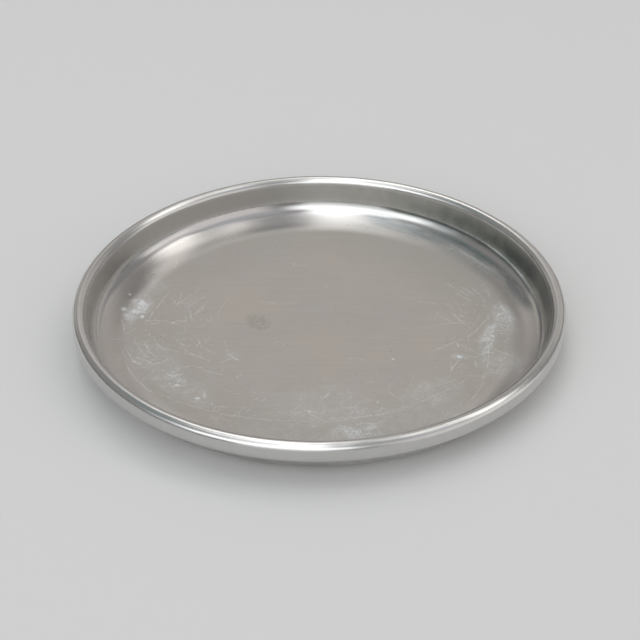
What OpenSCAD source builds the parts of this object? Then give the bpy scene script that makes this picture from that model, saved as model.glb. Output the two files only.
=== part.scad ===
// Round baking pan: one sheet of aluminium, pressed to a flat floor, a rounded
// corner and a leaning wall, and rolled outwards at the top round a steel wire.
// The pan stands on z = 0 and its centre line is the Z axis. Units are millimetres.

/* [Overall size] */
// Diameter over the outside of the rolled rim
rim_dia = 305; // [150:1:520]
// Height from the table to the top of the rim
pan_h = 28.5; // [22:0.5:60]

/* [Sheet] */
// Thickness of the sheet, the same in the floor, the wall and the roll
sheet_t = 1.2; // [0.6:0.1:1.8]
// Lean of the wall outwards from upright, in degrees
wall_lean = 7; // [0:0.5:20]
// Inside radius of the corner between the floor and the wall
corner_r = 14.5; // [5:0.1:18]

/* [Rolled rim] */
// Width of the roll from the inside of the pan to its outer face
roll_w = 8.6; // [7:0.1:12]
// Height of the straight outer face of the roll, between its two round ends
roll_face_h = 4.1; // [3.4:0.1:8]

/* [Rim wire] */
// Gap all round between the wire and the sheet that is rolled over it
wire_gap = 0.1; // [0.05:0.01:0.3]
// Gap between the sheet's tucked edge and the wire above it
tuck_gap = 0.2; // [0.1:0.05:0.6]
// Gap between the two cut ends of the wire, which meet without a weld
wire_end_gap = 1.5; // [0.5:0.1:6]

/* [Hidden] */

// Revolved surfaces are round whatever this is; it only sets the preview's facets
$fn = 180;
// Largest turn between two neighbouring points of a bend's section, in degrees
bend_step = 5;

// Outside radius of the pan over the roll
rim_r = rim_dia / 2;

// The top of the roll is half a circle round the wire
roll_r = roll_w / 2;
roll_centre = [rim_r - roll_r, pan_h - roll_r];

// The foot of the roll turns under and back up, so that the sheet's edge lies by the wall
foot_r = roll_r - sheet_t / 2;
foot_centre = [rim_r - foot_r, roll_centre.y - roll_face_h];

// The wire fills the top of the roll, and the sheet's tucked edge stops just below it
wire_r = roll_r - sheet_t - wire_gap;
tuck_inset = roll_r - 2 * sheet_t;
wire_drop = sqrt(wire_r * wire_r - tuck_inset * tuck_inset);
tuck_top = roll_centre.y - wire_drop - tuck_gap;

// The wall runs straight from the corner to the roll and is tangent to both
corner_y = sheet_t + corner_r;
corner_inset = (corner_r + roll_r) / cos(wall_lean) + (roll_centre.y - corner_y) * tan(wall_lean);
corner_centre = [roll_centre.x - corner_inset, corner_y];

// Angle of the wire that its end gap takes out
wire_end_angle = wire_end_gap / roll_centre.x * 180 / PI;

// Points of a bend in section, from one angle to another about its centre
function bend(centre, radius, from, to) =
    let (steps = ceil(abs(to - from) / bend_step))
    [for (i = [0 : steps])
        let (angle = from + (to - from) * i / steps)
        centre + radius * [cos(angle), sin(angle)]];

// The face of the sheet that holds the food, followed over the roll to the sheet's edge
function upper_face() = concat(
    [[0, sheet_t]],
    bend(corner_centre, corner_r, 270, 360 - wall_lean),
    bend(roll_centre, roll_r, 180 - wall_lean, 0),
    bend(foot_centre, foot_r, 0, -180),
    [[foot_centre.x - foot_r, tuck_top]]
);

// The face of the sheet that stands on the table, followed back from the sheet's edge
function lower_face() = concat(
    [[foot_centre.x - foot_r + sheet_t, tuck_top]],
    bend(foot_centre, foot_r - sheet_t, -180, 0),
    bend(roll_centre, roll_r - sheet_t, 0, 180 - wall_lean),
    bend(corner_centre, corner_r + sheet_t, 360 - wall_lean, 270),
    [[0, 0]]
);

// The whole pan is one sheet: floor, corner, wall and rolled edge
module pan_shell() {
    color([0.76, 0.76, 0.75])
        rotate_extrude()
            polygon(concat(upper_face(), lower_face()));
}

// The steel wire in the roll, bent to a ring with its ends butted
module rim_wire() {
    color([0.55, 0.56, 0.58])
        rotate([0, 0, wire_end_angle / 2])
            rotate_extrude(angle = 360 - wire_end_angle)
                translate(roll_centre) circle(wire_r);
}

pan_shell();
rim_wire();
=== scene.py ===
"""Looks of a round aluminium baking pan, and the plain studio that it stands in.

Lengths in the dataclasses are millimetres and angles are degrees, as on a workshop
drawing; they become metres where a mesh or a lamp is made. The pan stands on z = 0,
its centre line is the Z axis, and the camera looks at it from -Y.
"""

from __future__ import annotations

import logging
import math
from dataclasses import dataclass, field
from enum import Enum
from typing import Iterable, Mapping, Optional, Sequence, Union

import bpy
import numpy as np
from mathutils import Matrix, Vector

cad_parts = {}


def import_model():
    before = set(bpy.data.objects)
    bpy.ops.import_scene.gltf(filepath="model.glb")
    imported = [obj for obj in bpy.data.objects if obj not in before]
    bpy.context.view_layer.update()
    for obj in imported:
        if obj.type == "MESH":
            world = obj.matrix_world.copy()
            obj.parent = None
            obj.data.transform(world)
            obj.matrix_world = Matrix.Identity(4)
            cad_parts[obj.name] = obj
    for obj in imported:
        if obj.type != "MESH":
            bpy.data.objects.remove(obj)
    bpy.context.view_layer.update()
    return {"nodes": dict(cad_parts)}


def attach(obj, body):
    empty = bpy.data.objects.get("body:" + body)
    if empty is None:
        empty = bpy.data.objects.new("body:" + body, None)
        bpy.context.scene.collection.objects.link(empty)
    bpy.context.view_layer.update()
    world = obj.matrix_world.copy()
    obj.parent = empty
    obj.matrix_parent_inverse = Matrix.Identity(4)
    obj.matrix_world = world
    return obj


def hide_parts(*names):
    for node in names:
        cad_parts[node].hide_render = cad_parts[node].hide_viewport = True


LOG = logging.getLogger("baking_pan")
MM = 0.001
HALF_TURN = 180.0
# turns the metal's stretch across the lines, as a share of a whole turn
STRETCH_TURN = 0.25
# the most that the shader stretches a light, where 1 would be a line
MOST_STRETCH = 0.9

Colour = tuple[float, float, float]
Point2 = tuple[float, float]
Point3 = tuple[float, float, float]
Socket = bpy.types.NodeSocket
Input = Union[float, Sequence[float], Socket]


def heading(turn: float) -> Point2:
    """The direction that lies so many degrees from +X towards +Y."""
    return math.cos(math.radians(turn)), math.sin(math.radians(turn))


def placed(name: str, data: bpy.types.ID) -> bpy.types.Object:
    """Makes an object out of its data and puts it in the scene.

    Args:
        name: what it is called.
        data: its mesh, lamp or camera.

    Returns:
        The object.
    """
    made = bpy.data.objects.new(name, data)
    bpy.context.scene.collection.objects.link(made)
    return made


class Zone(Enum):
    """Parts of the sheet, in the order that a finger meets them from the middle outwards."""

    FLOOR = "floor"
    CORNER = "corner"
    BEND = "bend"
    WALL = "wall"
    ROLL = "roll"
    FACE = "face"


class Side(Enum):
    """The two faces of the sheet; the value is what the mesh stores for each."""

    FOOD = 0.0
    OVEN = 1.0


class Attribute(Enum):
    """Names of the numbers that the sheet's mesh carries for its finish."""

    ALONG = "along"
    SIDE = "side"


# Wear and patterns


@dataclass(frozen=True)
class Clouds:
    """Cloudy noise, as it is or with a soft threshold.

    Attributes:
        scale: clouds to a unit of the coordinates.
        detail: octaves.
        rough: how strong each finer octave is.
        edges: noise where the pattern is 0 and where it is 1, or None for the noise as it is.
    """

    scale: float
    detail: float = 3.0
    rough: float = 0.6
    edges: Optional[Point2] = None


@dataclass(frozen=True)
class Stroke:
    """One scratch that is long or bright enough to tell from the others.

    Attributes:
        start: where it begins on the floor.
        end: where it ends.
        bow: how far its middle lies to the left of the straight line.
        width: its width.
        strength: how bright it is.
    """

    start: Point2
    end: Point2
    bow: float = 0.0
    width: float = 0.5
    strength: float = 0.6


@dataclass(frozen=True)
class Patch:
    """A soft-edged area of the floor.

    Attributes:
        centre: its middle.
        reach: its half length and half width.
        turn: direction of its length, from +X towards +Y.
        strength: how strong it is in its middle.
    """

    centre: Point2
    reach: Point2
    turn: float = 0.0
    strength: float = 1.0


# painted dark reflections: colour darkened on the wall and the corner in place of dark reflections
@dataclass(frozen=True)
class PaintedReflection:
    """A painted dark reflection: a darker, tinted patch of colour on one side of the wall or of the corner,
    standing in for the dark reflections there.

    Attributes:
        turn: direction of its middle from the pan's centre, from +X towards +Y.
        reach: how far in that direction it begins, and how far it is at its darkest.
        low: where it begins and where it is full, up the sheet from the wall's foot.
        high: where it ends and where it is last full, up the sheet from the wall's foot.
        colour: what the metal's colour is multiplied by.
    """

    turn: float
    reach: Point2
    low: Point2
    high: Point2
    colour: Colour


@dataclass(frozen=True)
class Hairlines:
    """A layer of short scratches at random, one to a cell.

    Attributes:
        size: size of a cell, which is about the longest scratch.
        width: width of a scratch.
        shift: shifts the pattern, so that two layers differ.
        turned: the cells lie round the pan, not on a plain grid.
        bend: how strongly the most bowed scratch bends, over one cell.
        half: half lengths of the shortest and the longest scratch, as shares of the size.
        fade: length over which its ends fade, as a share of the size.
        chance: chance below which a scratch is missing, and from which it is full.
    """

    size: float
    width: float
    shift: Point2
    turned: bool = False
    bend: float = 0.4
    half: Point2 = (0.15, 0.5)
    fade: float = 0.12
    chance: Point2 = (0.2, 1.0)


@dataclass(frozen=True)
class Specks:
    """A layer of small round specks at random, at most one to a cell.

    Attributes:
        size: size of a cell.
        radius: radius of the largest speck.
        rarity: share of the cells that have none.
        least: radius of the smallest speck, as a share of the largest.
        soft: width of its soft edge, as a share of the largest radius.
    """

    size: float
    radius: float
    rarity: float
    least: float = 0.4
    soft: float = 0.5


# Node graphs


class Graph:
    """Adds nodes to one node tree and wires them as they are made."""

    def __init__(self, tree: bpy.types.NodeTree) -> None:
        """Empties the tree.

        Args:
            tree: the node tree of a material or a world.
        """
        self.tree = tree
        tree.nodes.clear()

    def node(self, kind: str, *values: Input, **settings: object) -> bpy.types.Node:
        """Makes one node.

        Args:
            kind: the node's type name.
            values: its first inputs, in order.
            settings: properties to set on it.

        Returns:
            The new node.
        """
        made = self.tree.nodes.new(kind)
        for name, value in settings.items():
            setattr(made, name, value)
        for target, value in zip(made.inputs, values):
            self.feed(target, value)
        return made

    def feed(self, target: Socket, value: Input) -> None:
        """Links a socket to an input, or sets a plain value on it.

        Args:
            target: the input to fill.
            value: a socket, a number, or a colour or vector.
        """
        if isinstance(value, bpy.types.NodeSocket):
            self.tree.links.new(value, target)
        elif isinstance(value, (int, float)):
            target.default_value = value
        else:
            target.default_value = (*value, 1.0) if len(target.default_value) == 4 else tuple(value)

    def fill(self, node: bpy.types.Node, **values: Input) -> None:
        """Feeds some of a node's inputs, by their names."""
        for name, value in values.items():
            self.feed(node.inputs[name], value)

    def math(self, operation: str, *values: Input, clamp: bool = False) -> Socket:
        """Does one sum.

        Args:
            operation: the Math node's operation.
            values: its inputs, in order.
            clamp: keeps the result between 0 and 1.

        Returns:
            The result's socket.
        """
        return self.node("ShaderNodeMath", *values, operation=operation, use_clamp=clamp).outputs[0]

    def times(self, first: Input, *others: Input, clamp: bool = False) -> Socket:
        """Multiplies two or more numbers.

        Args:
            first: the first number.
            others: the other numbers.
            clamp: keeps the result between 0 and 1.

        Returns:
            The product's socket.
        """
        for other in others[:-1]:
            first = self.math("MULTIPLY", first, other)
        return self.math("MULTIPLY", first, others[-1], clamp=clamp)

    def total(self, shares: Iterable[Socket]) -> Socket:
        """Adds up numbers, each as soon as it is made, so that the shader keeps few at a time.

        Args:
            shares: the numbers.

        Returns:
            Their sum.
        """
        result: Input = 0.0
        for share in shares:
            result = self.math("ADD", share, result)
        return result

    def vector(self, operation: str, *values: Input, output: str = "Vector") -> Socket:
        """Does one vector sum.

        Args:
            operation: the Vector Math node's operation.
            values: its inputs, in order.
            output: "Vector" or "Value".

        Returns:
            The result's socket.
        """
        return self.node("ShaderNodeVectorMath", *values, operation=operation).outputs[output]

    def dot(self, first: Input, second: Input) -> Socket:
        """Multiplies two vectors to a number."""
        return self.vector("DOT_PRODUCT", first, second, output="Value")

    def combine(self, x: Input, y: Input, z: Input) -> Socket:
        """Joins three numbers to a vector."""
        return self.node("ShaderNodeCombineXYZ", x, y, z).outputs[0]

    def split(self, value: Input) -> tuple[Socket, Socket, Socket]:
        """Splits a vector to its three numbers."""
        return tuple(self.node("ShaderNodeSeparateXYZ", value).outputs)

    def ease(self, value: Input, start: Input, end: Input) -> Socket:
        """Runs smoothly from 0 where value is start to 1 where it is end.

        Args:
            value: the number that drives it.
            start: where the result is 0.
            end: where the result is 1; it may be below start.

        Returns:
            The result's socket.
        """
        made = self.node("ShaderNodeMapRange", value, start, end, interpolation_type="SMOOTHSTEP")
        return made.outputs[0]

    def scale_to(self, value: Input, low: float, high: float) -> Socket:
        """Turns a share from 0 to 1 into a number from low to high."""
        return self.math("MULTIPLY_ADD", value, high - low, low)

    def mix(self, share: Input, first: Input, second: Input) -> Socket:
        """Mixes two numbers.

        Args:
            share: 0 gives first and 1 gives second.
            first: a number.
            second: a number.

        Returns:
            The mixed number's socket.
        """
        made = self.node("ShaderNodeMix", share, data_type="FLOAT", clamp_factor=True)
        self.feed(made.inputs[2], first)
        self.feed(made.inputs[3], second)
        return made.outputs[0]

    def mix_colour(self, share: Input, first: Input, second: Input, blend: str = "MIX") -> Socket:
        """Mixes two colours.

        Args:
            share: 0 gives first and 1 gives the blend of both.
            first: a colour.
            second: a colour.
            blend: the Mix node's blend type.

        Returns:
            The mixed colour's socket.
        """
        made = self.node("ShaderNodeMix", share, data_type="RGBA", blend_type=blend, clamp_factor=True)
        self.feed(made.inputs[6], first)
        self.feed(made.inputs[7], second)
        return made.outputs[2]

    def clouds(self, place: Input, clouds: Clouds) -> Socket:
        """Cloudy noise between 0 and 1.

        Args:
            place: the coordinates.
            clouds: its size, its detail and its threshold.

        Returns:
            The pattern's socket.
        """
        made = self.node("ShaderNodeTexNoise", noise_dimensions="3D")
        self.fill(made, Vector=place, Scale=clouds.scale, Detail=clouds.detail, Roughness=clouds.rough)
        return self.ease(made.outputs[0], *clouds.edges) if clouds.edges else made.outputs[0]

    def cells(self, place: Input, size: float) -> bpy.types.Node:
        """Cells at random, about one to each square of the given size."""
        made = self.node("ShaderNodeTexVoronoi", voronoi_dimensions="2D", feature="F1")
        self.fill(made, Vector=place, Scale=1 / size)
        return made

    def attribute(self, name: Attribute) -> Socket:
        """Reads a number that the mesh carries."""
        return self.node("ShaderNodeAttribute", attribute_name=name.value).outputs["Fac"]

    def millimetres(self) -> Socket:
        """The point on the object, in millimetres."""
        return self.vector("MULTIPLY", self.node("ShaderNodeTexCoord").outputs["Object"], (1 / MM,) * 3)

    def use(self, shared: SharedGraph, **values: Input) -> Socket:
        """Uses a graph that many places share.

        Args:
            shared: the shared graph.
            values: its inputs by name.

        Returns:
            Its result's socket.
        """
        made = self.node("ShaderNodeGroup", node_tree=shared.tree)
        self.fill(made, **values)
        return made.outputs[0]


class SharedGraph(Graph):
    """A graph with named inputs and one result, for use in many places."""

    def __init__(self, name: str, vectors: Sequence[str], numbers: Sequence[str]) -> None:
        """Makes the empty graph.

        Args:
            name: the graph's name.
            vectors: names of the inputs that are vectors.
            numbers: names of the inputs that are numbers.
        """
        super().__init__(bpy.data.node_groups.new(name, "ShaderNodeTree"))
        kinds = {entry: "NodeSocketVector" for entry in vectors}
        kinds.update({entry: "NodeSocketFloat" for entry in numbers})
        for entry, kind in kinds.items():
            self.tree.interface.new_socket(entry, in_out="INPUT", socket_type=kind)
        self.tree.interface.new_socket("share", in_out="OUTPUT", socket_type="NodeSocketFloat")
        self.inputs = self.node("NodeGroupInput").outputs
        self.result = self.node("NodeGroupOutput").inputs[0]


class ScratchShape(SharedGraph):
    """The graph of a scratch: a thin bowed line that fades at its ends."""

    # where it begins and where it is full, in widths from its line and in lengths from its middle
    edge: Point2 = (1.0, 0.15)
    ends: Point2 = (0.52, 0.38)

    def __init__(self) -> None:
        """Makes the graph."""
        super().__init__("scratch", ("place", "start", "ahead", "aside"), ("bow", "width", "strength"))
        given = self.inputs
        offset = self.vector("SUBTRACT", given["place"], given["start"])
        share = self.dot(offset, given["ahead"])
        across = self.dot(offset, given["aside"])
        from_middle = self.math("ABSOLUTE", self.math("SUBTRACT", share, 0.5))
        # a parabola: 1 in the middle of the scratch and 0 at both ends
        bulge = self.math("MULTIPLY_ADD", self.times(from_middle, from_middle), -4.0, 1.0)
        miss = self.math("ABSOLUTE", self.math("SUBTRACT", across, self.times(bulge, given["bow"])))
        line = self.ease(self.math("DIVIDE", miss, given["width"]), *self.edge)
        self.feed(self.result, self.times(line, self.ease(from_middle, *self.ends), given["strength"]))


class PatchShape(SharedGraph):
    """The graph of a patch: an ellipse that fades from its middle."""

    # where it begins and where it is full, as the square of the distance in half sizes
    edge: Point2 = (1.6, 0.0)

    def __init__(self) -> None:
        """Makes the graph."""
        super().__init__("patch", ("place", "centre", "ahead", "aside"), ("strength",))
        given = self.inputs
        offset = self.vector("SUBTRACT", given["place"], given["centre"])
        u = self.dot(offset, given["ahead"])
        v = self.dot(offset, given["aside"])
        far = self.math("ADD", self.times(u, u), self.times(v, v))
        self.feed(self.result, self.times(self.ease(far, *self.edge), given["strength"]))


class MaterialGraph(Graph):
    """The graph of a new material with one shader."""

    def __init__(self, name: str) -> None:
        """Makes the material.

        Args:
            name: the material's name.
        """
        self.material = bpy.data.materials.new(name)
        self.material.use_nodes = True
        super().__init__(self.material.node_tree)
        self.shader = self.node("ShaderNodeBsdfPrincipled")
        output = self.node("ShaderNodeOutputMaterial")
        self.tree.links.new(self.shader.outputs[0], output.inputs["Surface"])


class WornGraph(MaterialGraph):
    """The graph of a material with scratches, patches, specks and painted dark reflections.

    Each of its methods gives how much of one kind of wear, or of a painted dark reflection, covers a point
    in millimetres.
    """

    def __init__(self, name: str) -> None:
        """Makes the material and the shared shapes.

        Args:
            name: the material's name.
        """
        super().__init__(name)
        self.scratch_shape = ScratchShape()
        self.patch_shape = PatchShape()

    def stroke(self, place: Input, stroke: Stroke) -> Socket:
        """Draws one scratch.

        Args:
            place: the point.
            stroke: the scratch.

        Returns:
            A share from 0 to the scratch's strength.
        """
        run = (stroke.end[0] - stroke.start[0], stroke.end[1] - stroke.start[1])
        length = math.hypot(*run)
        return self.use(
            self.scratch_shape,
            place=place,
            start=(*stroke.start, 0.0),
            ahead=(run[0] / length**2, run[1] / length**2, 0.0),
            aside=(-run[1] / length, run[0] / length, 0.0),
            bow=stroke.bow,
            width=stroke.width,
            strength=stroke.strength,
        )

    def patch(self, place: Input, patch: Patch) -> Socket:
        """Lays one soft patch.

        Args:
            place: the point.
            patch: the patch.

        Returns:
            A share from 0 to the patch's strength.
        """
        east, north = heading(patch.turn)
        return self.use(
            self.patch_shape,
            place=place,
            centre=(*patch.centre, 0.0),
            ahead=(east / patch.reach[0], north / patch.reach[0], 0.0),
            aside=(-north / patch.reach[1], east / patch.reach[1], 0.0),
            strength=patch.strength,
        )

    def hairs(self, place: Input, hairs: Hairlines) -> Socket:
        """Draws one layer of hairlines.

        Args:
            place: the point.
            hairs: the layer.

        Returns:
            A share from 0 to 1.
        """
        shifted = self.vector("ADD", place, (*hairs.shift, 0.0))
        cells = self.cells(shifted, hairs.size)
        x, y, _ = self.split(self.vector("SUBTRACT", shifted, cells.outputs["Position"]))
        turn, reach, chance = self.split(cells.outputs["Color"])
        angle = self.times(turn, 2 * math.pi)
        east, north = self.math("COSINE", angle), self.math("SINE", angle)
        ahead = self.math("ADD", self.times(x, east), self.times(y, north))
        aside = self.math("SUBTRACT", self.times(y, east), self.times(x, north))
        curve = hairs.bend / hairs.size
        bow = self.times(ahead, ahead, self.scale_to(reach, -curve, curve))
        core = ScratchShape.edge[1] * hairs.width
        line = self.ease(self.math("ABSOLUTE", self.math("ADD", aside, bow)), hairs.width, core)
        half = self.scale_to(reach, hairs.half[0] * hairs.size, hairs.half[1] * hairs.size)
        beyond = self.math("SUBTRACT", self.math("ABSOLUTE", ahead), half)
        ends = self.ease(beyond, 0.0, -hairs.fade * hairs.size)
        return self.times(line, ends, self.ease(chance, *hairs.chance))

    def painted_reflection(self, place: Input, rise: Input, painted_reflection: PaintedReflection) -> Socket:
        """Lays one painted dark reflection.

        Args:
            place: the point.
            rise: how far the point lies up the sheet from the wall's foot.
            painted_reflection: the painted dark reflection.

        Returns:
            A share from 0 to 1.
        """
        over = self.dot(place, (*heading(painted_reflection.turn), 0.0))
        band = self.times(self.ease(rise, *painted_reflection.low), self.ease(rise, *painted_reflection.high))
        return self.times(self.ease(over, *painted_reflection.reach), band)

    def hatched(self, place: Input, turn: float, scale: Point2, clouds: Clouds) -> Socket:
        """Draws fine rubbed lines that lie side by side.

        Args:
            place: the point.
            turn: their direction, from +X towards +Y.
            scale: how often they break off and how close they lie, to a millimetre.
            clouds: the noise that they are drawn out of.

        Returns:
            A share from 0 to 1.
        """
        east, north = heading(turn)
        ahead = self.dot(place, (scale[0] * east, scale[0] * north, 0.0))
        aside = self.dot(place, (-scale[1] * north, scale[1] * east, 0.0))
        return self.clouds(self.combine(ahead, aside, turn), clouds)

    def specks(self, place: Input, specks: Specks) -> Socket:
        """Strews one layer of specks.

        Args:
            place: the point.
            specks: the layer.

        Returns:
            A share from 0 to 1.
        """
        cells = self.cells(place, specks.size)
        chance, reach, _ = self.split(cells.outputs["Color"])
        largest = specks.radius / specks.size
        edge = self.scale_to(reach, specks.least * largest, largest)
        beyond = self.math("SUBTRACT", cells.outputs["Distance"], edge)
        spot = self.ease(beyond, 0.0, -specks.soft * largest)
        return self.times(spot, self.math("GREATER_THAN", chance, specks.rarity))


# The sheet's section


@dataclass(frozen=True)
class SectionPoint:
    """One corner of the sheet's section.

    Attributes:
        radius: distance from the centre line.
        height: height over the table.
        along: how far the food side has run from the middle to here.
        side: which face of the sheet this is.
        sharp: the surface has an edge here.
    """

    radius: float
    height: float
    along: float
    side: Side
    sharp: bool = False


@dataclass(frozen=True)
class Wave:
    """A slight hand-made unevenness round the pan.

    Attributes:
        lobes: waves in one turn.
        size: height of a wave.
        start: where the first crest is.
    """

    lobes: int
    size: float
    start: float


@dataclass
class SheetSizes:
    """Sizes of the pressed sheet; all but the last repeat those of the construction model."""

    rim_dia: float = 305.0
    pan_h: float = 28.5
    sheet_t: float = 1.2
    wall_lean: float = 7.0
    corner_r: float = 14.5
    roll_w: float = 8.6
    roll_face_h: float = 4.1
    wire_gap: float = 0.1
    tuck_gap: float = 0.2
    # how far the corner has turned where its bright bend starts
    bend_turn: float = 46.0

    @property
    def rim_r(self) -> float:
        """Outside radius over the roll."""
        return self.rim_dia / 2

    @property
    def roll_r(self) -> float:
        """Radius of the roll's round top."""
        return self.roll_w / 2

    @property
    def roll_centre(self) -> Point2:
        """Middle of the wire in section."""
        return self.rim_r - self.roll_r, self.pan_h - self.roll_r

    @property
    def foot_r(self) -> float:
        """Radius of the roll's round foot."""
        return self.roll_r - self.sheet_t / 2

    @property
    def foot_centre(self) -> Point2:
        """Middle of the roll's foot in section."""
        return self.rim_r - self.foot_r, self.roll_centre[1] - self.roll_face_h

    @property
    def tuck_top(self) -> float:
        """Height of the sheet's tucked edge, just under the wire."""
        wire_r = self.roll_r - self.sheet_t - self.wire_gap
        inset = self.roll_r - 2 * self.sheet_t
        return self.roll_centre[1] - math.sqrt(wire_r**2 - inset**2) - self.tuck_gap

    @property
    def corner_centre(self) -> Point2:
        """Middle of the corner's bend in section.

        Returns:
            Its radius and height, where the wall just touches the bend and the roll.
        """
        lean = math.radians(self.wall_lean)
        height = self.sheet_t + self.corner_r
        inset = (self.corner_r + self.roll_r) / math.cos(lean)
        inset += (self.roll_centre[1] - height) * math.tan(lean)
        return self.roll_centre[0] - inset, height

    @property
    def starts(self) -> dict[Zone, float]:
        """Where each zone starts.

        Returns:
            How far the food side has run from the middle to each zone.
        """
        lean = math.radians(self.wall_lean)
        corner = self.corner_centre[0]
        wall = corner + self.corner_r * (math.pi / 2 - lean)
        rise = self.roll_centre[1] - self.corner_centre[1]
        rise += (self.roll_r + self.corner_r) * math.sin(lean)
        roll = wall + rise / math.cos(lean)
        return {
            Zone.FLOOR: 0.0,
            Zone.CORNER: corner,
            Zone.BEND: corner + self.corner_r * math.radians(self.bend_turn),
            Zone.WALL: wall,
            Zone.ROLL: roll,
            Zone.FACE: roll + self.roll_r * (math.pi - lean),
        }


# Finishes


@dataclass(frozen=True)
class Metal:
    """How one zone of the sheet shines.

    The sheet is turned, so its fine lines run round the pan, and lights are drawn out across them.

    Attributes:
        colour: its colour.
        across: roughness across the turned lines.
        along: roughness along them; less than across.
        blend: where it begins and where it is full, from the start of its zone.
    """

    colour: Colour
    across: float
    along: float
    blend: Point2 = (0.0, 0.0)

    @property
    def roughness(self) -> float:
        """The mean of both roughnesses, as the shader wants it."""
        return math.sqrt(self.across * self.along)

    @property
    def stretch(self) -> float:
        """How much longer than wide a light is drawn, from 0 to 1, as the shader wants it."""
        return min((1 - (self.along / self.across) ** 2) / MOST_STRETCH, 1.0)


@dataclass(frozen=True)
class Tint:
    """A colour that shows on the metal, and how much of it shows where the most lies."""

    colour: Colour
    strength: float


@dataclass(frozen=True)
class Patterns:
    """The cloudy patterns that break up the finish."""

    waver: tuple[Clouds, Clouds] = (Clouds(0.09), Clouds(0.11))
    broken: Clouds = Clouds(0.8, rough=0.7, edges=(0.40, 0.62))
    scuffed: Clouds = Clouds(0.06, 2.0, 0.5, (0.32, 0.58))
    speckle: Clouds = Clouds(0.55, 5.0, 0.8, (0.47, 0.60))
    hatched: Clouds = Clouds(1.0, edges=(0.50, 0.62))
    haze: Clouds = Clouds(0.12, edges=(0.3, 0.7))
    crumbled: Clouds = Clouds(0.9, rough=0.7)
    stained: Clouds = Clouds(0.35, 4.0, 0.7, (0.35, 0.6))
    grain: Clouds = Clouds(1.0, edges=(0.35, 0.75))
    warm: Clouds = Clouds(0.018, 4.0, edges=(0.42, 0.62))
    grime: Clouds = Clouds(0.025, 5.0, 0.65, (0.40, 0.66))
    # unevenness of the painted dark reflections
    reflection_unevenness: Clouds = Clouds(0.16, 4.0, 0.7, (0.35, 0.65))
    mottled: Clouds = Clouds(0.05, 4.0)
    lines: Clouds = Clouds(1.0, rough=0.7)
    fine: Clouds = Clouds(1.6, rough=0.7)


@dataclass(frozen=True)
class Wear:
    """How far the wear reaches and how strongly it shows."""

    # where the floor's wear ends and is full, from the corner's start, and the same of the food side
    floor: Point2 = (14.0, -2.0)
    food: Point2 = (0.6, 0.4)
    # how far a drawn line wavers, and millimetres of pattern to a radian round the pan
    waver: float = 1.2
    wind: float = 22.0
    # the least and the most of the hairlines, and of the powder in the haze
    hairs: Point2 = (0.04, 0.72)
    powder: Point2 = (0.10, 1.1)
    # how often the hatching breaks off and how close it lies, to a millimetre
    hatching: Point2 = (0.10, 0.95)
    # the least and the most that a crumb keeps, where it begins and is full, and how white it is
    crumbled: Point2 = (-0.7, 2.3)
    crumb: Point2 = (0.2, 0.75)
    white: float = 0.9
    # the share of the dust in the haze, and where the floor is scuffed
    dust: Point2 = (0.9, 0.10)
    # where the stain begins and is full, and the least and the most of a painted dark reflection
    stain: Point2 = (0.05, 0.4)
    reflection_unevenness: Point2 = (0.5, 1.1)
    # radii between which the floor darkens
    outer: Point2 = (72.0, 106.0)
    # grains to a millimetre along the rolling, which runs along X, and across it
    grain: Point3 = (0.02, 0.35, 0.0)
    # shifts the grimy clouds off the warm ones
    grime: Point3 = (91.0, 37.0, 0.0)
    # turned lines along the sheet, and waves of each line across
    lines: Point2 = (5.0, 6.0)
    # how far the mottle, the turned lines and the oven side's mottle swing the roughness
    mottle_swing: float = 0.05
    line_swing: float = 0.05
    oven_swing: float = 0.08
    # what full powder and full scratches add to the roughness, and take from the metal's shine
    rough: Point2 = (0.25, 0.2)
    matt: Point2 = (0.6, 0.5)
    # depth and strength of the fine relief, and the turned lines' share of it
    relief_depth: float = 0.1
    relief_strength: float = 0.12
    relief_lines: float = 0.25


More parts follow.
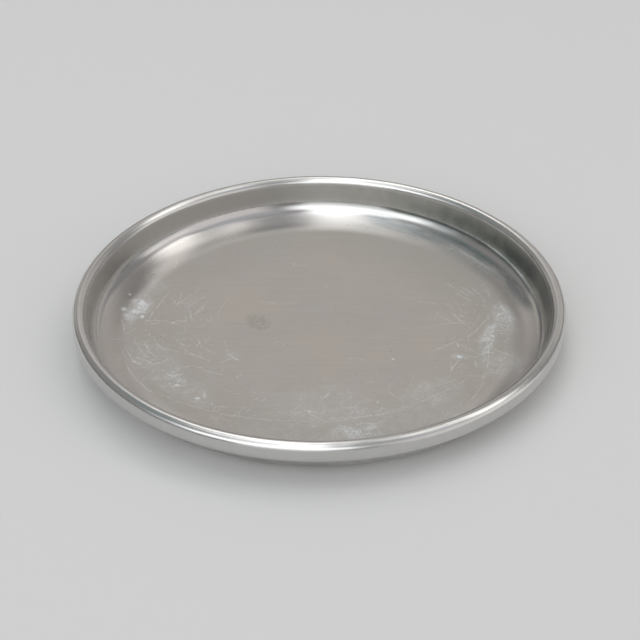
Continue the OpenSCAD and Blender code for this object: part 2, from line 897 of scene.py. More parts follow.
@dataclass
class SheetFinish:
    """Used aluminium: dull and scratched where food is cut, bright on the wall and the roll."""

    metals: dict[Zone, Metal] = field(
        default_factory=lambda: {
            Zone.FLOOR: Metal((0.582, 0.549, 0.515), 0.66, 0.66),
            Zone.CORNER: Metal((0.74, 0.715, 0.70), 0.62, 0.13, (-12.0, 0.0)),
            Zone.BEND: Metal((0.71, 0.70, 0.695), 0.13, 0.11, (-3.0, 2.0)),
            Zone.WALL: Metal((0.59, 0.593, 0.593), 0.22, 0.13, (-5.0, 3.0)),
            Zone.ROLL: Metal((0.75, 0.745, 0.735), 0.25, 0.20, (-2.0, 2.0)),
            # the outer face's colour is kept darker than the roll's as painted shade, for the shaded floor
            # that it mirrors
            Zone.FACE: Metal((0.59, 0.583, 0.57), 0.27, 0.20, (-3.0, -1.0)),
        }
    )
    oven: Metal = Metal((0.62, 0.61, 0.59), 0.42, 0.30)
    strokes: tuple[Stroke, ...] = (
        # far and middle of the floor
        Stroke((-40, 29), (-12, 28), -0.5, 0.6, 0.45),
        Stroke((-18, 78), (-17, 72), 0.5, 0.8, 0.45),
        Stroke((-16, 73), (-6, 76), -1.0, 0.7, 0.4),
        Stroke((3, 48), (7, 45), 0.0, 0.9, 0.4),
        Stroke((16, -34), (28, -36), 0.6, 0.5, 0.4),
        Stroke((-29, -16), (-19, -15), 0.0, 0.5, 0.3),
        Stroke((5, 29), (8, 17), 1.0, 0.6, 0.2),
        # left
        Stroke((-112, 8), (-88, 3), 2.5, 0.8),
        Stroke((-101, -18), (-80, -28), -1.5, 0.6),
        Stroke((-80, -28), (-66, -38), 1.0, 0.6, 0.5),
        Stroke((-57, -28), (-50, -36), 0.5, 0.8, 0.75),
        Stroke((-60, -37), (-50, -31), 0.0, 0.6, 0.55),
        Stroke((-60, -12), (-57, -27), 0.5, 0.4, 0.4),
        Stroke((-71, -17), (-63, -20), -0.5, 0.4, 0.4),
        Stroke((-113, -31), (-101, -39), 1.0, 0.7, 0.7),
        Stroke((-103, -39), (-92, -33), -1.0, 0.7, 0.7),
        Stroke((-91, -49), (-75, -40), 1.5, 0.7, 0.65),
        Stroke((-75, -41), (-57, -50), -1.5, 0.6, 0.4),
        Stroke((-119, -34), (-97, -69), -3.0, 0.8),
        Stroke((-116, -11), (-104, -33), -1.5, 0.5, 0.5),
        Stroke((-110, -12), (-98, -34), -1.5, 0.5, 0.5),
        Stroke((-104, -8), (-94, -26), -1.5, 0.5, 0.45),
        Stroke((-121, -19), (-110, -40), -1.0, 0.5, 0.5),
        Stroke((-92, -7), (-79, -29), -1.0, 0.4, 0.4),
        Stroke((-127, 11), (-123, -4), 1.0, 1.0, 0.7),
        Stroke((-131, -12), (-121, -12), 0.0, 0.7),
        Stroke((-116, -33), (-111, -38), 0.5, 0.9, 0.7),
        Stroke((-86, 21), (-73, 37), 1.0, 0.6, 0.5),
        Stroke((-87, 35), (-78, 46), -0.5, 0.5, 0.4),
        Stroke((-97, 36), (-93, 27), 0.5, 0.8, 0.5),
        Stroke((-90, 41), (-92, 26), 0.5, 0.5, 0.45),
        Stroke((-58, 34), (-65, 10), -2.0, 0.5, 0.4),
        Stroke((-77, 21), (-78, 11), 0.0, 0.4, 0.35),
        Stroke((-96, 81), (-97, 71), 0.0, 1.0, 0.35),
        # right
        Stroke((84, 49), (98, 35), 0.5, 0.7),
        Stroke((55, 36), (66, 28), 0.5, 0.5, 0.35),
        Stroke((64, 29), (79, 24), 0.5, 0.6, 0.45),
        Stroke((84, 17), (97, -3), -1.0, 0.6),
        Stroke((70, 0), (95, 4), 1.0, 0.6, 0.55),
        Stroke((72, -26), (92, -13), 0.8, 0.6, 0.65),
        Stroke((92, -13), (108, 12), -1.5, 0.7),
        Stroke((100, 46), (107, 22), 2.0, 0.6, 0.4),
        Stroke((103, 14), (90, -9), 1.5, 0.5, 0.35),
        Stroke((110, 46), (112, 34), 0.5, 0.6, 0.4),
        Stroke((110, 2), (104, -17), 1.0, 1.0, 0.5),
        Stroke((104, -17), (101, -46), 1.5, 0.7, 0.5),
        Stroke((100, -46), (89, -76), 2.0, 0.5, 0.45),
        Stroke((86, -19), (99, -31), 0.0, 0.5, 0.55),
        Stroke((79, -48), (86, -35), 0.5, 0.7),
        Stroke((84, -39), (91, -45), 0.0, 0.5, 0.45),
        Stroke((75, -60), (82, -56), 0.0, 0.6, 0.4),
        Stroke((117, 30), (119, 16), -0.5, 0.8, 0.45),
        Stroke((107, -51), (112, -40), 0.5, 0.7, 0.4),
        Stroke((53, -52), (66, -60), 0.5, 0.5, 0.3),
        Stroke((57, -68), (64, -58), 0.5, 0.6, 0.35),
        # near, with the long arc that a rim has rubbed
        Stroke((-98, -66), (0, -95), -9.0, 0.9, 0.3),
        Stroke((-8, -97), (92, -52), -10.5, 0.9, 0.3),
        Stroke((2, -93), (52, -84), -2.5, 0.7, 0.3),
        Stroke((14, -99), (18, -108), -1.5, 1.1),
        Stroke((20, -99), (31, -98), 0.8, 1.0, 0.5),
        Stroke((15, -101), (24, -104), 0.5, 0.9, 0.45),
    )
    dots: tuple[Patch, ...] = (
        Patch((45, -35), (1.3, 1.3)),
        Patch((86, -33), (2.2, 1.5), -40),
        Patch((-72, -73), (2.2, 1.6), 0, 0.8),
        Patch((-115, 29), (2.6, 2.0), 30),
        Patch((-126, 22), (2.0, 2.4), 0, 0.8),
        Patch((-119, 19), (2.2, 1.6), 60, 0.9),
        Patch((-113, 13), (1.6, 2.2), 0, 0.9),
        Patch((-124, 39), (1.6, 1.6), 0, 0.7),
        Patch((-85, -60), (1.8, 1.4), -40, 0.7),
        Patch((-63, -79), (1.6, 1.2), -40, 0.5),
        Patch((-58, -84), (1.4, 1.2), 0, 0.5),
        Patch((-72, 68), (1.2, 2.0), 0, 0.4),
        Patch((-6, -86), (1.5, 1.2), 0, 0.6),
        Patch((34, -78), (1.2, 2.2), 20, 0.45),
        Patch((33, -87), (1.3, 1.3), 0, 0.4),
        Patch((41, -91), (1.3, 1.8), 0, 0.4),
        Patch((-33, -72), (1.4, 1.2), 0, 0.4),
        Patch((-32, -13), (1.2, 1.2), 0, 0.4),
    )
    hairlines: tuple[Hairlines, ...] = (
        Hairlines(11.0, 0.32, (0, 0)),
        Hairlines(7.0, 0.26, (31, 11)),
        Hairlines(16.0, 0.34, (57, 21)),
        Hairlines(5.0, 0.24, (83, 31)),
        Hairlines(22.0, 0.36, (15, 47)),
        Hairlines(7.0, 0.30, (11, 4), turned=True),
    )
    haze: tuple[Patch, ...] = (
        Patch((-118, 23), (15, 9), 75, 1.25),
        Patch((-112, 45), (16, 8), 60, 0.35),
        Patch((-98, -40), (26, 14), 120, 0.35),
        Patch((-80, -64), (24, 9), 140, 0.4),
        Patch((118, 8), (17, 8), 95, 0.95),
        Patch((105, -15), (19, 5), 76, 0.95),
        Patch((114, -42), (17, 14), 0, 0.5),
        Patch((30, -98), (90, 20), 8, 0.28),
        Patch((66, -68), (20, 12), 30, 0.4),
        Patch((22, -105), (16, 7), 5, 0.6),
        Patch((0, -78), (30, 16), 0, 0.25),
        Patch((86, -33), (5, 4), 0, 0.7),
        Patch((-53, -31), (6, 4), 130, 0.5),
    )
    hatching: tuple[float, ...] = (62.0, -28.0)
    scuffs: tuple[Patch, ...] = (
        Patch((-98, -8), (62, 34), 90),
        Patch((100, -6), (60, 30), 90, 0.9),
        Patch((-60, -70), (50, 22), 140, 0.7),
        Patch((20, -75), (70, 26), 0, 0.6),
    )
    # painted dark reflections on the right of the wall and in the corner, as colour multiplied down
    painted_reflections: tuple[PaintedReflection, ...] = (
        PaintedReflection(40.0, (20.0, 130.0), (-9.0, -4.0), (13.0, 9.0), (0.72, 0.75, 0.72)),
        PaintedReflection(37.0, (124.0, 137.0), (-8.0, -4.0), (12.0, 2.0), (0.54, 0.60, 0.59)),
        PaintedReflection(41.0, (108.0, 118.0), (-21.5, -17.0), (-8.5, -11.5), (0.53, 0.58, 0.60)),
    )
    stains: tuple[Patch, ...] = (Patch((-39, 6), (9, 7), 130),)
    dust: Specks = Specks(1.7, 0.5, 0.5)
    pits: Specks = Specks(9.0, 0.55, 0.72)
    warm_tint: Tint = Tint((0.67, 0.60, 0.54), 0.22)
    grime_tint: Tint = Tint((0.56, 0.56, 0.57), 0.16)
    grain_tint: Tint = Tint((0.78, 0.76, 0.73), 0.10)
    outer_tint: Tint = Tint((0.53, 0.505, 0.475), 0.35)
    stain_tint: Tint = Tint((0.40, 0.385, 0.34), 0.40)
    pit_tint: Tint = Tint((0.22, 0.20, 0.18), 0.6)
    powder_tint: Tint = Tint((0.88, 0.92, 0.95), 0.8)
    scratch_tint: Tint = Tint((0.95, 0.95, 0.94), 1.0)
    baked_tint: Tint = Tint((0.47, 0.455, 0.43), 0.7)
    patterns: Patterns = Patterns()
    wear: Wear = Wear()

    def dress(self, piece: bpy.types.Object, sizes: SheetSizes) -> bpy.types.Material:
        """Gives the sheet its finish.

        Args:
            piece: the sheet.
            sizes: its sizes, for where the zones start.

        Returns:
            The material.
        """
        graph = SheetGraph(self, sizes.starts)
        graph.wire_up()
        piece.data.materials.append(graph.material)
        return graph.material


class SheetGraph(WornGraph):
    """The graph of the used sheet."""

    def __init__(self, finish: SheetFinish, starts: Mapping[Zone, float]) -> None:
        """Makes the material and finds where a point of the sheet lies.

        Args:
            finish: the sheet's finish.
            starts: where each zone starts along the food side.
        """
        super().__init__("aluminium_sheet")
        self.finish = finish
        self.starts = starts
        self.patterns = finish.patterns
        self.wear = finish.wear
        self.place = self.millimetres()
        self.along = self.attribute(Attribute.ALONG)
        self.on_oven = self.attribute(Attribute.SIDE)
        x, y, _ = self.split(self.place)
        self.radius = self.math("SQRT", self.math("ADD", self.times(x, x), self.times(y, y)))
        self.east = self.math("DIVIDE", x, self.radius)
        self.north = self.math("DIVIDE", y, self.radius)
        none, full = (starts[Zone.CORNER] + edge for edge in self.wear.floor)
        on_food = self.ease(self.on_oven, *self.wear.food)
        self.on_floor = self.times(self.ease(self.along, none, full), on_food)
        reach = self.wear.waver
        aside, ahead = (self.clouds(self.place, clouds) for clouds in self.patterns.waver)
        nudge = self.combine(self.scale_to(aside, -reach, reach), self.scale_to(ahead, reach, -reach), 0.0)
        self.drawn = self.vector("ADD", self.place, nudge)
        arc = self.times(self.math("ARCTAN2", y, x), self.wear.wind)
        self.wound = self.combine(arc, self.radius, 0.0)

    def _bare(self) -> tuple[Socket, Socket, Socket]:
        """Runs the zones of bare metal into each other.

        Returns:
            The metal's colour, roughness and stretch.
        """
        floor = self.finish.metals[Zone.FLOOR]
        colour, rough, stretch = floor.colour, floor.roughness, floor.stretch
        for zone in list(Zone)[1:]:
            metal = self.finish.metals[zone]
            share = self.ease(self.along, *(self.starts[zone] + edge for edge in metal.blend))
            colour = self.mix_colour(share, colour, metal.colour)
            rough = self.mix(share, rough, metal.roughness)
            stretch = self.mix(share, stretch, metal.stretch)
        return colour, rough, stretch

    def _patches(self, place: Socket, patches: Iterable[Patch]) -> Socket:
        """Lays patches over each other."""
        return self.total(self.patch(place, patch) for patch in patches)

    def _scratched(self) -> tuple[Socket, Socket]:
        """Draws the floor's scratches: the clear ones, and hairlines where it is scuffed.

        Returns:
            How much of the scratches covers a point, and how scuffed it is.
        """
        finish, patterns = self.finish, self.patterns
        clear = self.total(self.stroke(self.drawn, stroke) for stroke in finish.strokes)
        clear = self.times(clear, self.clouds(self.place, patterns.broken), self.on_floor, clamp=True)
        hairs = self.total(self.hairs(self.wound if h.turned else self.drawn, h) for h in finish.hairlines)
        scuffed = self._patches(self.place, finish.scuffs)
        scuffed = self.times(scuffed, self.clouds(self.place, patterns.scuffed))
        hairs = self.times(hairs, self.scale_to(scuffed, *self.wear.hairs), self.on_floor)
        return self.math("ADD", clear, hairs, clamp=True), scuffed

    def _powdered(self, scuffed: Socket) -> Socket:
        """Lays the floor's white powder: haze, crumbs and dust.

        Args:
            scuffed: how scuffed the floor is.

        Returns:
            A share from 0 to 1.
        """
        wear, patterns = self.wear, self.patterns
        haze = self._patches(self.drawn, self.finish.haze)
        speckle = self.clouds(self.place, patterns.speckle)
        for turn in self.finish.hatching:
            lines = self.hatched(self.place, turn, wear.hatching, patterns.hatched)
            speckle = self.math("MAXIMUM", speckle, lines)
        thick = self.times(speckle, self.clouds(self.place, patterns.haze))
        powder = self.times(haze, self.scale_to(thick, *wear.powder))
        left = self.scale_to(self.clouds(self.place, patterns.crumbled), *wear.crumbled)
        crumbs = self.ease(self.times(self._patches(self.place, self.finish.dots), left), *wear.crumb)
        dusty = self.math("MULTIPLY_ADD", haze, wear.dust[0], self.times(scuffed, wear.dust[1]))
        dust = self.times(self.specks(self.place, self.finish.dust), dusty)
        powder = self.math("ADD", powder, self.math("ADD", self.times(crumbs, wear.white), dust))
        return self.times(powder, self.on_floor, clamp=True)

    def _stained(self) -> Socket:
        """Lays the stain."""
        ring = self.ease(self._patches(self.drawn, self.finish.stains), *self.wear.stain)
        return self.times(ring, self.clouds(self.place, self.patterns.stained))

    def _tinted(self, colour: Input, tint: Tint, *shares: Socket) -> Socket:
        """Lets a tint show on a colour, by the product of its shares."""
        return self.mix_colour(self.times(*shares, tint.strength), colour, tint.colour)

    def _with_painted_reflections(self, colour: Input) -> Socket:
        """Darkens a colour with the painted dark reflections on the wall and the corner.

        Args:
            colour: the metal's colour.

        Returns:
            The colour with the painted dark reflections.
        """
        uneven = self.scale_to(self.clouds(self.wound, self.patterns.reflection_unevenness), *self.wear.reflection_unevenness)
        rise = self.math("SUBTRACT", self.along, self.starts[Zone.WALL])
        # each painted dark reflection multiplies the colour down
        for painted_reflection in self.finish.painted_reflections:
            share = self.times(self.painted_reflection(self.place, rise, painted_reflection), uneven)
            colour = self.mix_colour(share, colour, painted_reflection.colour, blend="MULTIPLY")
        return colour

    def _swung(self, rough: Input, pattern: Socket, swing: float, share: Socket) -> Socket:
        """Lets a pattern swing the roughness where the share says so."""
        return self.math("ADD", rough, self.times(self.scale_to(pattern, -swing, swing), share))

    def _coloured(self, colour: Input, grime: Socket, scratches: Socket, powder: Socket) -> Socket:
        """Lays the wear, and the painted dark reflections, over the colour of the bare metal.

        Args:
            colour: the bare metal's colour.
            grime: how grimy a point is.
            scratches: how much of the scratches covers it.
            powder: how much of the powder covers it.

        Returns:
            The worn colour, with the painted dark reflections.
        """
        finish, patterns, wear = self.finish, self.patterns, self.wear
        pits = self.times(self.specks(self.place, finish.pits), self.on_floor)
        stain = self._stained()
        grain = self.clouds(self.vector("MULTIPLY", self.place, wear.grain), patterns.grain)
        warm = self.clouds(self.place, patterns.warm)
        colour = self._tinted(colour, finish.warm_tint, warm, self.on_floor)
        colour = self._tinted(colour, finish.grime_tint, grime)
        colour = self._tinted(colour, finish.grain_tint, grain)
        colour = self._tinted(colour, finish.outer_tint, self.ease(self.radius, *wear.outer), self.on_floor)
        colour = self._tinted(colour, finish.stain_tint, stain)
        colour = self._tinted(colour, finish.pit_tint, pits)
        colour = self._tinted(colour, finish.powder_tint, powder)
        colour = self._tinted(colour, finish.scratch_tint, scratches)
        # the painted dark reflections go on last
        return self._with_painted_reflections(colour)

    def _turned_lines(self) -> Socket:
        """Draws the fine turned lines that run round the pan.

        Returns:
            A share from 0 to 1.
        """
        step, wave = self.wear.lines
        east, north = self.times(self.east, wave), self.times(self.north, wave)
        return self.clouds(self.combine(east, north, self.times(self.along, step)), self.patterns.lines)

    def _relief(self, lines: Socket) -> Socket:
        """Makes the fine relief of the turned lines and the pitted floor.

        Args:
            lines: the turned lines.

        Returns:
            The way that the surface faces.
        """
        fine = self.times(self.clouds(self.place, self.patterns.fine), self.on_floor)
        height = self.math("ADD", self.times(lines, self.wear.relief_lines), fine)
        bump = self.node("ShaderNodeBump")
        depth = self.wear.relief_depth * MM
        self.fill(bump, Distance=depth, Strength=self.wear.relief_strength, Height=height)
        return bump.outputs[0]

    def wire_up(self) -> None:
        """Makes the whole finish, from the bare metal to the fine relief."""
        finish, wear = self.finish, self.wear
        colour, rough, stretch = self._bare()
        scratches, scuffed = self._scratched()
        powder = self._powdered(scuffed)
        grime = self.clouds(self.vector("ADD", self.place, wear.grime), self.patterns.grime)
        colour = self._coloured(colour, grime, scratches, powder)

        mottle = self.clouds(self.place, self.patterns.mottled)
        rough = self._swung(rough, mottle, wear.mottle_swing, self.on_floor)
        rough = self.math("ADD", rough, self.times(powder, wear.rough[0]))
        rough = self.math("ADD", rough, self.times(scratches, wear.rough[1]))
        lines = self._turned_lines()
        rough = self._swung(rough, lines, wear.line_swing, self.math("SUBTRACT", 1.0, self.on_floor))

        # the oven side
        baked = self._tinted(finish.oven.colour, finish.baked_tint, grime)
        colour = self.mix_colour(self.on_oven, colour, baked)
        low, high = (finish.oven.roughness + swing for swing in (-wear.oven_swing, wear.oven_swing))
        rough = self.mix(self.on_oven, rough, self.scale_to(mottle, low, high))
        stretch = self.mix(self.on_oven, stretch, finish.oven.stretch)

        metallic = self.math("SUBTRACT", 1.0, self.times(powder, wear.matt[0]))
        metallic = self.math("SUBTRACT", metallic, self.times(scratches, wear.matt[1]), clamp=True)
        around = self.node("ShaderNodeTangent", direction_type="RADIAL", axis="Z")
        self.fill(self.shader, Roughness=rough, Anisotropic=stretch, Metallic=metallic)
        self.fill(self.shader, Tangent=around.outputs[0], Normal=self._relief(lines))
        self.feed(self.shader.inputs["Base Color"], colour)
        self.feed(self.shader.inputs["Anisotropic Rotation"], STRETCH_TURN)


@dataclass(frozen=True)
class WireFinish:
    """Drawn and galvanised steel wire, with spangles that are duller and brighter than the rest."""

    colour: Colour = (0.52, 0.53, 0.54)
    dull: Colour = (0.40, 0.41, 0.42)
    roughness: Point2 = (0.44, 0.24)
    spangle: Clouds = Clouds(0.7)

    def dress(self, piece: bpy.types.Object) -> bpy.types.Material:
        """Gives the wire its finish.

        Args:
            piece: the wire's ring.

        Returns:
            The material.
        """
        g = MaterialGraph("steel_wire")
        spangle = g.clouds(g.millimetres(), self.spangle)
        g.feed(g.shader.inputs["Base Color"], g.mix_colour(spangle, self.dull, self.colour))
        g.fill(g.shader, Roughness=g.scale_to(spangle, *self.roughness), Metallic=1.0)
        piece.data.materials.clear()
        piece.data.materials.append(g.material)
        return g.material


# The pieces


@dataclass
class PanSheet:
    """The pressed and rolled sheet: floor, corner, wall and rim in one piece."""

    sizes: SheetSizes = field(default_factory=SheetSizes)
    finish: SheetFinish = field(default_factory=SheetFinish)
    # steps of the mesh: in one turn, between the floor's rings, round a bend, and up a straight side
    segments: int = 400
    ring_step: float = 8.0
    bend_step: float = 3.0
    hidden_bend_step: float = 9.0
    wall_steps: int = 6
    face_steps: int = 4
    out_of_round: tuple[Wave, ...] = (Wave(3, 0.16, 85.0), Wave(5, 0.05, 20.0))
    roll_waves: tuple[Wave, ...] = (
        Wave(17, 0.012, 4.0),
        Wave(29, 0.016, 7.0),
        Wave(43, 0.012, 2.0),
        Wave(71, 0.007, 3.0),
    )
    # radians between the roll's waves outwards and upwards, and how far inside it they may begin
    lift_turn: float = 0.7
    roll_margin: float = 1.0
    # how far the floor's middle is pressed up
    floor_bow: float = 0.25
    floor_waves: tuple[Wave, ...] = (Wave(2, 0.08, 30.0), Wave(3, 0.06, 75.0))

    def _bend(self, centre: Point2, radius: float, start: float, end: float, step: float) -> list[Point2]:
        """Points of a bend in section.

        Args:
            centre: its middle.
            radius: its radius.
            start: angle of the first point.
            end: angle of the last point.
            step: largest turn between two points.

        Returns:
            The points in order, both ends included.
        """
        count = math.ceil(abs(end - start) / step)
        angles = [math.radians(start + (end - start) * i / count) for i in range(count + 1)]
        return [(centre[0] + radius * math.cos(a), centre[1] + radius * math.sin(a)) for a in angles]

    def _rings(self, height: float) -> list[Point2]:
        """Points of the flat floor from its middle to just inside the corner."""
        reach = self.sizes.corner_centre[0]
        count = math.ceil(reach / self.ring_step)
        return [(reach * i / count, height) for i in range(count)]

    def _straight(self, start: Point2, end: Point2, count: int) -> list[Point2]:
        """Points between two bends, both ends left out."""
        shares = [i / count for i in range(1, count)]
        return [(start[0] + (end[0] - start[0]) * s, start[1] + (end[1] - start[1]) * s) for s in shares]

    def _food_side(self) -> list[Point2]:
        """The food side in section.

        Returns:
            Its points from the middle of the floor over the roll to the tucked edge.
        """
        s = self.sizes
        corner = self._bend(s.corner_centre, s.corner_r, 270, 360 - s.wall_lean, self.bend_step)
        roll = self._bend(s.roll_centre, s.roll_r, 180 - s.wall_lean, 0, self.bend_step)
        foot = self._bend(s.foot_centre, s.foot_r, 0, -180, 2 * self.bend_step)
        wall = self._straight(corner[-1], roll[0], self.wall_steps)
        face = self._straight(roll[-1], foot[0], self.face_steps)
        return self._rings(s.sheet_t) + corner + wall + roll + face + foot + [(foot[-1][0], s.tuck_top)]

    def _oven_side(self) -> list[Point2]:
        """The oven side in section.

        Returns:
            Its points from the tucked edge back to the middle of the floor.
        """
        s = self.sizes
        step = self.hidden_bend_step
        foot = self._bend(s.foot_centre, s.foot_r - s.sheet_t, -180, 0, step)
        roll = self._bend(s.roll_centre, s.roll_r - s.sheet_t, 0, 180 - s.wall_lean, step)
        corner = self._bend(s.corner_centre, s.corner_r + s.sheet_t, 360 - s.wall_lean, 270, self.bend_step)
        wall = self._straight(roll[-1], corner[0], self.wall_steps)
        return [(foot[0][0], s.tuck_top)] + foot + roll + wall + corner + self._rings(0.0)[::-1]

    def section(self) -> list[SectionPoint]:
        """The closed section of the sheet.

        Returns:
            Its points, from the middle of the food side round to the middle of the oven side.
        """
        food, oven = self._food_side(), self._oven_side()
        travelled = [0.0]
        for before, after in zip(food, food[1:]):
            travelled.append(travelled[-1] + math.dist(before, after))
        points = [
            SectionPoint(r, z, along, Side.FOOD, i == len(food) - 1)
            for i, ((r, z), along) in enumerate(zip(food, travelled))
        ]
        back = travelled[-1]
        for i, (r, z) in enumerate(oven):
            back -= math.dist(oven[i - 1], (r, z)) if i else 0.0
            points.append(SectionPoint(r, z, max(back, 0.0), Side.OVEN, i == 0))
        return points

    def _swing(self, waves: Sequence[Wave], angles: np.ndarray) -> np.ndarray:
        """Adds up waves round the pan."""
        return sum(w.size * np.cos(w.lobes * (angles - math.radians(w.start))) for w in waves)

    def _worn(self, section: Sequence[SectionPoint]) -> np.ndarray:
        """Turns the section round the centre line, as uneven as a used pan is.

        Args:
            section: the section's points without its two middle ones.

        Returns:
            Places in millimetres, one row for each angle and point.
        """
        s = self.sizes
        angles = np.arange(self.segments) * 2 * math.pi / self.segments
        radius = np.array([p.radius for p in section])[None, :]
        height = np.array([p.height for p in section])[None, :]
        at = angles[:, None]

        slack = sum(w.size for w in self.out_of_round)
        radius = radius * (1 + (self._swing(self.out_of_round, at) - slack) / s.rim_r)

        outside = radius > s.rim_r - s.roll_w - self.roll_margin
        in_roll = np.clip((height - s.tuck_top + s.roll_r) / s.roll_r, 0, 1) * outside
        slack = sum(w.size for w in self.roll_waves)
        radius = radius + in_roll * (self._swing(self.roll_waves, at) - slack)
        height = height + in_roll * (self._swing(self.roll_waves, at + self.lift_turn) - slack)

        share = np.clip(1 - (radius / s.corner_centre[0]) ** 2, 0, 1)
        slack = sum(w.size for w in self.floor_waves)
        waves = (radius / s.rim_r) * share * (self._swing(self.floor_waves, at) + slack)
        height = height + (self.floor_bow * share + waves)
        return np.stack([radius * np.cos(at), radius * np.sin(at), height + 0 * at], -1).reshape(-1, 3)

    def build(self) -> bpy.types.Object:
        """Makes the sheet's mesh.

        Returns:
            The object, at the origin.
        """
        section = self.section()
        rim = section[1:-1]
        count, turns = len(rim), self.segments
        places = self._worn(rim)
        middles = [(0, 0, point.height + self.floor_bow) for point in (section[0], section[-1])]
        places = np.vstack([places, middles]) * MM
        top, bottom = len(places) - 2, len(places) - 1
        faces: list[tuple[int, ...]] = []
        for i in range(turns):
            here, there = i * count, (i + 1) % turns * count
            faces.append((top, here, there))
            faces.extend((here + k, here + k + 1, there + k + 1, there + k) for k in range(count - 1))
            faces.append((here + count - 1, bottom, there + count - 1))

        mesh = bpy.data.meshes.new("pan_sheet")
        mesh.from_pydata(places.tolist(), [], faces)
        mesh.update()
        mesh.shade_smooth()
        for name, values in (
            (Attribute.ALONG, [p.along for p in rim]),
            (Attribute.SIDE, [p.side.value for p in rim]),
        ):
            ends = [0.0, values[-1]]
            layer = mesh.attributes.new(name.value, "FLOAT", "POINT")
            layer.data.foreach_set("value", np.array(values * turns + ends, np.float32))
        sharp_rows = {k for k, p in enumerate(rim) if p.sharp}
        sharp = np.zeros(len(mesh.edges), bool)
        for edge in mesh.edges:
            a, b = edge.vertices
            same_row = a % count == b % count and max(a, b) < top
            sharp[edge.index] = same_row and a % count in sharp_rows
        mesh.attributes.new("sharp_edge", "BOOLEAN", "EDGE").data.foreach_set("value", sharp)

        return placed("pan_sheet", mesh)

    def dress(self, piece: bpy.types.Object) -> bpy.types.Material:
        """Gives the sheet its finish."""
        return self.finish.dress(piece, self.sizes)


@dataclass
class RimWire:
    """The wire's ring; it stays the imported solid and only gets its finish."""

    finish: WireFinish = WireFinish()

    def dress(self, piece: bpy.types.Object) -> bpy.types.Material:
        """Gives the wire its finish."""
        return self.finish.dress(piece)


# The studio


@dataclass(frozen=True)
class SoftBox:
    """A soft lamp: a lit rectangle that faces the pan.

    Attributes:
        name: what it is called.
        centre: its middle in metres.
        size: its width along X and depth along Y in metres.
        radiance: how bright it looks, where 1 is paper white.
        colour: colour of its light.
    """

    name: str
    centre: Point3
    size: Point2
    radiance: float
    colour: Colour = (1.0, 1.0, 1.0)

    def build(self) -> bpy.types.Object:
        """Makes the lamp.

        Returns:
            The lamp's object.
        """
        lamp = bpy.data.lights.new(self.name, "AREA")
        lamp.shape = "RECTANGLE"
        lamp.size, lamp.size_y = self.size
        lamp.energy = self.radiance * math.pi * self.size[0] * self.size[1]
        lamp.color = self.colour
        made = placed(self.name, lamp)
        made.location = self.centre
        return made


@dataclass(frozen=True)
class RoomPatch:
    """A part of the room that the metal mirrors, with soft edges.

    Attributes:
        bearing: where its middle is, 0 behind the camera and positive to the left.
        elevation: height of its middle over the horizon.
        reach: its half width and half height.
        soft: width of its soft edge.
        colour: its colour, where 1 is paper white.
    """

    bearing: float
    elevation: float
    reach: Point2
    soft: float
    colour: Colour


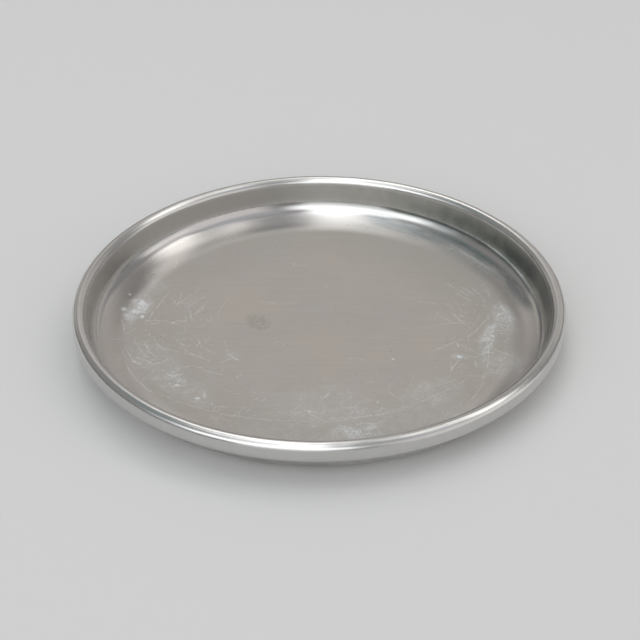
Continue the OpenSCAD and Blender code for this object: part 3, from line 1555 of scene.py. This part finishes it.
@dataclass
class Studio:
    """Pale floor, soft lamps and a plain room."""

    floor_radius: float = 4.0
    floor_segments: int = 96
    floor_colour: Colour = (0.80, 0.80, 0.80)
    floor_roughness: float = 0.9
    floor_gloss: float = 0.1
    boxes: tuple[SoftBox, ...] = (SoftBox("soft_box_over", (-0.30, -0.30, 1.5), (0.9, 0.9), 0.5),)
    # the room's walls and its ceiling, and the elevations between which they run into each other
    room_low: Colour = (0.27, 0.265, 0.26)
    room_top: Colour = (0.36, 0.37, 0.38)
    ceiling: Point2 = (50.0, 75.0)
    patches: tuple[RoomPatch, ...] = (
        # dark low parts on the left, and a dark green one above them
        RoomPatch(63, 30, (14, 14), 8, (0.62, 0.64, 0.66)),
        RoomPatch(80, 4, (60, 8), 4, (0.12, 0.125, 0.125)),
        RoomPatch(146, 14, (14, 6), 5, (0.50, 0.48, 0.44)),
        RoomPatch(106, 50, (22, 9), 8, (0.20, 0.26, 0.26)),
        RoomPatch(104, 72, (34, 8), 6, (0.72, 0.75, 0.76)),
        # right: a pale low part and a small bright window over it
        RoomPatch(-48, 41, (26, 14), 8, (0.46, 0.47, 0.49)),
        RoomPatch(-82, 62, (24, 9), 7, (0.78, 0.80, 0.82)),
        RoomPatch(-62, 17, (36, 17), 8, (0.73, 0.70, 0.69)),
        RoomPatch(-84, 17, (14, 4), 4, (1.00, 0.97, 0.94)),
        RoomPatch(-72, 0, (34, 4), 3, (1.42, 1.40, 1.36)),
        RoomPatch(-128, 65, (50, 7), 5, (0.66, 0.65, 0.63)),
        RoomPatch(-110, 71, (26, 3), 3, (1.80, 1.78, 1.74)),
        RoomPatch(-130, 57, (32, 4), 3, (1.60, 1.57, 1.52)),
        RoomPatch(-93, 44, (13, 8), 4, (1.46, 1.44, 1.40)),
        RoomPatch(-107, 49, (14, 5), 4, (1.80, 1.77, 1.72)),
        # behind the pan
        RoomPatch(-175, 0, (50, 3), 3, (0.12, 0.12, 0.11)),
        RoomPatch(-155, 25, (24, 11), 6, (0.50, 0.48, 0.455)),
        RoomPatch(168, 37, (16, 8), 5, (0.58, 0.55, 0.53)),
        RoomPatch(169, 59, (13, 13), 5, (2.10, 2.07, 2.03)),
        RoomPatch(150, 75, (28, 6), 5, (1.42, 1.43, 1.43)),
        # front: a wide soft window that narrows towards the ceiling
        RoomPatch(12, 5, (20, 6), 4, (0.66, 0.67, 0.68)),
        RoomPatch(14, 15, (22, 5), 5, (1.00, 1.02, 1.03)),
        RoomPatch(15, 0, (20, 3), 3, (0.95, 0.94, 0.92)),
        RoomPatch(23, 32, (38, 12), 9, (1.74, 1.77, 1.79)),
        RoomPatch(22, 48, (28, 8), 6, (1.42, 1.45, 1.47)),
        RoomPatch(13, 62, (19, 20), 6, (1.54, 1.57, 1.59)),
        RoomPatch(85, 87, (90, 8), 6, (1.40, 1.44, 1.45)),
    )

    def _world(self) -> None:
        """Makes the room: a plain gradient with the soft patches that the metal mirrors."""
        world = bpy.data.worlds.new("plain_room")
        bpy.context.scene.world = world
        world.use_nodes = True
        g = Graph(world.node_tree)
        x, y, z = g.split(g.node("ShaderNodeTexCoord").outputs["Generated"])
        degrees = math.degrees(1)
        elevation = g.times(g.math("ARCSINE", z), degrees)
        bearing = g.times(g.math("ARCTAN2", g.times(x, -1.0), g.times(y, -1.0)), degrees)
        colour = g.mix_colour(g.ease(elevation, *self.ceiling), self.room_low, self.room_top)
        for patch in self.patches:
            aside = g.math("WRAP", g.math("SUBTRACT", bearing, patch.bearing), HALF_TURN, -HALF_TURN)
            over = g.math("SUBTRACT", elevation, patch.elevation)
            inside = [
                g.ease(g.math("ABSOLUTE", miss), reach + patch.soft, reach - patch.soft)
                for miss, reach in zip((aside, over), patch.reach)
            ]
            colour = g.mix_colour(g.times(*inside), colour, patch.colour)
        background = g.node("ShaderNodeBackground")
        output = g.node("ShaderNodeOutputWorld")
        g.feed(background.inputs["Color"], colour)
        g.tree.links.new(background.outputs[0], output.inputs["Surface"])

    def _floor(self) -> bpy.types.Object:
        """Makes the pale floor that the pan stands on.

        Returns:
            The floor's object.
        """
        count = self.floor_segments
        ring = [
            (self.floor_radius * math.cos(a), self.floor_radius * math.sin(a), 0.0)
            for a in (2 * math.pi * i / count for i in range(count))
        ]
        mesh = bpy.data.meshes.new("studio_floor")
        mesh.from_pydata(ring, [], [tuple(range(count))])
        g = MaterialGraph("studio_paper")
        g.feed(g.shader.inputs["Base Color"], self.floor_colour)
        g.feed(g.shader.inputs["Specular IOR Level"], self.floor_gloss)
        g.fill(g.shader, Roughness=self.floor_roughness)
        mesh.materials.append(g.material)
        made = placed("studio_floor", mesh)
        return made

    def build(self) -> None:
        """Makes the room, the floor and the lamps."""
        self._world()
        self._floor()
        for box in self.boxes:
            box.build()
        bpy.context.scene.view_settings.view_transform = "Standard"


@dataclass(frozen=True)
class CameraStand:
    """Where the camera stands and what it looks at.

    Attributes:
        aim: the point in the middle of the picture.
        distance: from the aim to the camera.
        elevation: how far it looks down.
        roll: turn of the picture.
        lens: focal length on the sensor.
        sensor: width of the sensor.
    """

    aim: Point3 = (0.53, -25.55, 24.2)
    distance: float = 850.6
    elevation: float = 34.331
    roll: float = -0.35
    lens: float = 78.75
    sensor: float = 36.0

    def build(self) -> bpy.types.Object:
        """Makes the camera and puts it in use.

        Returns:
            The camera's object.
        """
        rise = math.radians(self.elevation)
        aim = Vector(self.aim) * MM
        back = Vector((0.0, -math.cos(rise), math.sin(rise)))
        lens = bpy.data.cameras.new("camera")
        lens.lens, lens.sensor_width, lens.sensor_fit = self.lens, self.sensor, "HORIZONTAL"
        made = placed("camera", lens)
        turn = (-back).to_track_quat("-Z", "Y").to_matrix().to_4x4()
        turn = turn @ Matrix.Rotation(math.radians(self.roll), 4, "Z")
        made.matrix_world = Matrix.Translation(aim + back * self.distance * MM) @ turn
        bpy.context.scene.camera = made
        return made


# Putting it together


def main() -> None:
    """Builds the pan's pieces, then the studio."""
    logging.basicConfig(level=logging.INFO, format="%(name)s: %(message)s")
    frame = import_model()

    sheet = PanSheet()
    piece = sheet.build()
    sheet.dress(piece)
    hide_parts("pan_shell")
    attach(piece, "root")
    LOG.info("pan_sheet: %d faces", len(piece.data.polygons))

    wire = frame["nodes"]["rim_wire"]
    RimWire().dress(wire)
    LOG.info("rim_wire: finished where it lies")

    Studio().build()
    CameraStand().build()
    LOG.info("studio and camera: ready")


if __name__ == "__main__":
    main()
